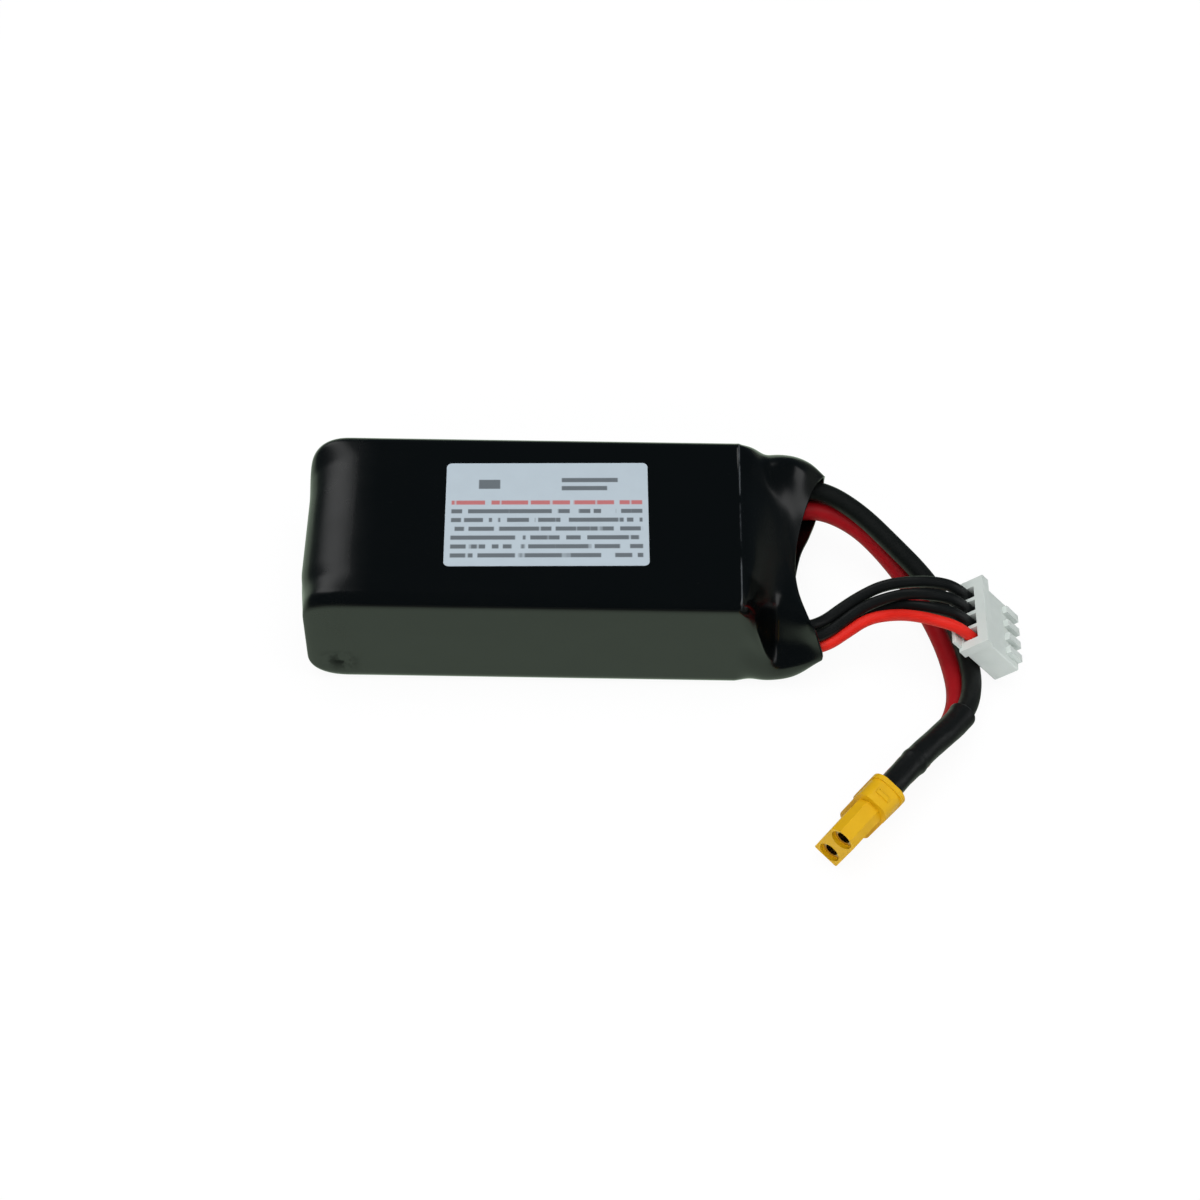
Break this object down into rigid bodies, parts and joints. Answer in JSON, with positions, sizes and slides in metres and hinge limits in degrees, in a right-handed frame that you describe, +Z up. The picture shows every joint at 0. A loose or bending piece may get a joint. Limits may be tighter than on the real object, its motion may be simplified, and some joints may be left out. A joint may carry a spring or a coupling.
{
  "type": "lipo battery pack",
  "caption": "Rectangular soft-pouch battery pack in black shrink film with two main leads to a keyed yellow power connector and a small balance plug.",
  "frame": {"origin": "centre of the wrapped pack's underside, without the leads", "axes": "+X along the pack towards the end the leads leave, +Y across it towards the main leads' side, +Z up, away from the surface it lies on and through the label"},
  "size_m": [0.1071, 0.0666, 0.0193],
  "materials": {
    "black_film": "glossy black PVC heat shrink film, wrinkled at the lead end",
    "label_paper": "pale satin coated paper",
    "cell_pouch_foil": "satin laminated pouch foil",
    "aluminium_tab": "bare rolled foil",
    "nickel_tab": "bare nickel strip",
    "tab_sealant": "translucent sealing film",
    "cell_tape": "double-sided tape",
    "board_laminate": "green solder mask on glass fibre",
    "insulating_card": "plain insulating card",
    "foam": "closed-cell foam",
    "yellow_nylon": "smooth moulded nylon, slightly glossy",
    "gilt_contact": "gold-plated turned brass",
    "white_nylon": "pale moulded nylon, slightly translucent",
    "tinned_terminal": "tin-plated stamped strip",
    "black_silicone": "soft silicone insulation, satin",
    "dark_red_silicone": "soft silicone insulation, satin",
    "black_insulation": "thin insulation, satin, with tiny pale printing ticks",
    "red_insulation": "thin insulation, satin",
    "black_sleeve": "shrink sleeve, satin",
    "red_sleeve": "shrink sleeve, satin",
    "solder": "bright solder"
  },
  "bodies": {
    "root": {"balance_lead_first_tap": "black_insulation", "balance_lead_negative": "black_insulation", "balance_lead_positive": "red_insulation", "balance_lead_second_tap": "black_insulation", "balance_plug_housing": "white_nylon", "balance_terminals": "tinned_terminal", "board_solder_joints": "solder", "bottom_cell": "cell_pouch_foil", "bottom_cell_negative_tab": "nickel_tab", "bottom_cell_positive_tab": "aluminium_tab", "connector_housing": "yellow_nylon", "heat_shrink_wrap": "black_film", "information_label": "label_paper", "insulating_frame": "insulating_card", "lower_cell_pad": "cell_tape", "main_lead_negative": "black_silicone", "main_lead_positive": "dark_red_silicone", "middle_cell": "cell_pouch_foil", "middle_cell_negative_tab": "nickel_tab", "middle_cell_positive_tab": "aluminium_tab", "negative_socket_contact": "gilt_contact", "negative_solder_sleeve": "black_sleeve", "positive_socket_contact": "gilt_contact", "positive_solder_sleeve": "red_sleeve", "tab_board": "board_laminate", "tab_sealing_strips": "tab_sealant", "tail_foam_pad": "foam", "tail_insulating_card": "insulating_card", "top_cell": "cell_pouch_foil", "top_cell_negative_tab": "nickel_tab", "top_cell_positive_tab": "aluminium_tab", "upper_cell_pad": "cell_tape"}
  },
  "joints": []
}
